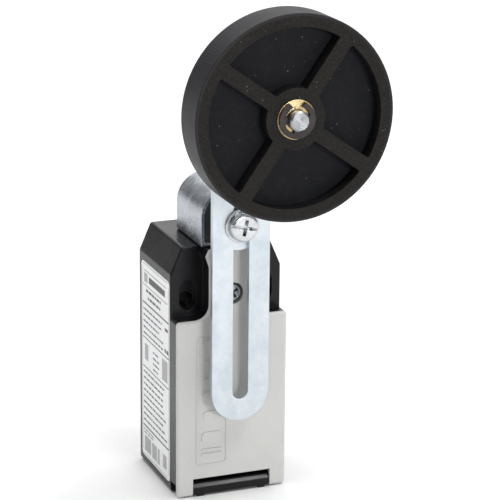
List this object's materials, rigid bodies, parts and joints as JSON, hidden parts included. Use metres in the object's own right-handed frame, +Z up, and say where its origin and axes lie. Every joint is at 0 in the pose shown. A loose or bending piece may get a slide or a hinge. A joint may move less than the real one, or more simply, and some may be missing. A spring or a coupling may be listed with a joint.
{
  "type": "limit switch",
  "caption": "Box-shaped limit switch with a rotary head and a slotted, cranked lever strip that carries a large four-spoked rubber roller in front.",
  "frame": {"origin": "on the flat mounting face at the back, midway between the two fixing holes", "axes": "+Z up along the body from the cable entry to the head, +Y backwards into the machine it is screwed to, -Y towards the lever and roller"},
  "size_m": [0.0508, 0.0745, 0.1375],
  "materials": {
    "housing_plastic": "satin glass-filled plastic",
    "cover_plastic": "satin moulded plastic",
    "gasket_rubber": "matt rubber",
    "label_film": "printed film",
    "cast_zinc": "tumbled die-cast zinc alloy, read by the packer as cast metal",
    "cap_plastic": "matt moulded plastic",
    "bronze": "turned",
    "contact_plastic": "moulded, matt",
    "contact_brass": "stamped",
    "zinc_screw": "bright zinc plated steel",
    "zinc_plate": "bright zinc plated sheet steel",
    "shaft_steel": "turned steel",
    "clip_steel": "blackened spring steel",
    "roller_rubber": "matt moulded rubber",
    "spring_steel": "drawn wire"
  },
  "bodies": {
    "housing": {"body_housing": "housing_plastic", "front_cover": "cover_plastic", "cover_gasket": "gasket_rubber", "cover_screw": "zinc_screw", "hinge_bar": "housing_plastic", "side_label": "label_film", "head_casing": "cast_zinc", "head_gasket": "gasket_rubber", "head_cap": "cap_plastic", "shaft_seal": "gasket_rubber", "shaft_bush": "bronze", "head_screw_front": "zinc_screw", "head_screw_rear": "zinc_screw", "contact_block": "contact_plastic", "block_screw_left": "zinc_screw", "block_screw_right": "zinc_screw", "terminal_upper_left": "contact_brass", "terminal_upper_right": "contact_brass", "terminal_lower_left": "contact_brass", "terminal_lower_right": "contact_brass", "screw_upper_left": "zinc_screw", "screw_upper_right": "zinc_screw", "screw_lower_left": "zinc_screw", "screw_lower_right": "zinc_screw"},
    "lever_hub": {"shaft": "shaft_steel", "hub_disc": "zinc_plate", "cam": "shaft_steel", "clamp_washer": "zinc_screw", "clamp_screw": "zinc_screw"},
    "lever_arm": {"lever_plate": "zinc_plate", "roller_axle": "shaft_steel", "spacer_washer": "zinc_screw", "e_clip": "clip_steel"},
    "roller_set": {"roller": "roller_rubber", "roller_bush": "bronze"},
    "plunger_set": {"plunger": "cap_plastic", "bridge_upper": "contact_brass", "bridge_lower": "contact_brass", "plunger_spring": "spring_steel"}
  },
  "joints": [
    {"name": "lever_turn", "type": "hinge", "parent": "housing", "child": "lever_hub", "pos_m": [0, -0.0358, 0.0228], "axis": [0, -1, 0], "range_deg": [-75, 75], "stiffness_Nm_per_rad": 0.12},
    {"name": "lever_extend", "type": "slide", "parent": "lever_hub", "child": "lever_arm", "axis": [0, 0, 1], "range_m": [-0.002, 0.044]},
    {"name": "roller_spin", "type": "hinge", "parent": "lever_arm", "child": "roller_set", "pos_m": [0, -0.0665, 0.0586], "axis": [0, -1, 0], "continuous": true},
    {"name": "plunger_slide", "type": "slide", "parent": "housing", "child": "plunger_set", "axis": [0, 0, -1], "range_m": [0, 0.0028], "stiffness_N_per_m": 300, "springref_m": -0.004, "deforming": ["plunger_spring"]}
  ]
}
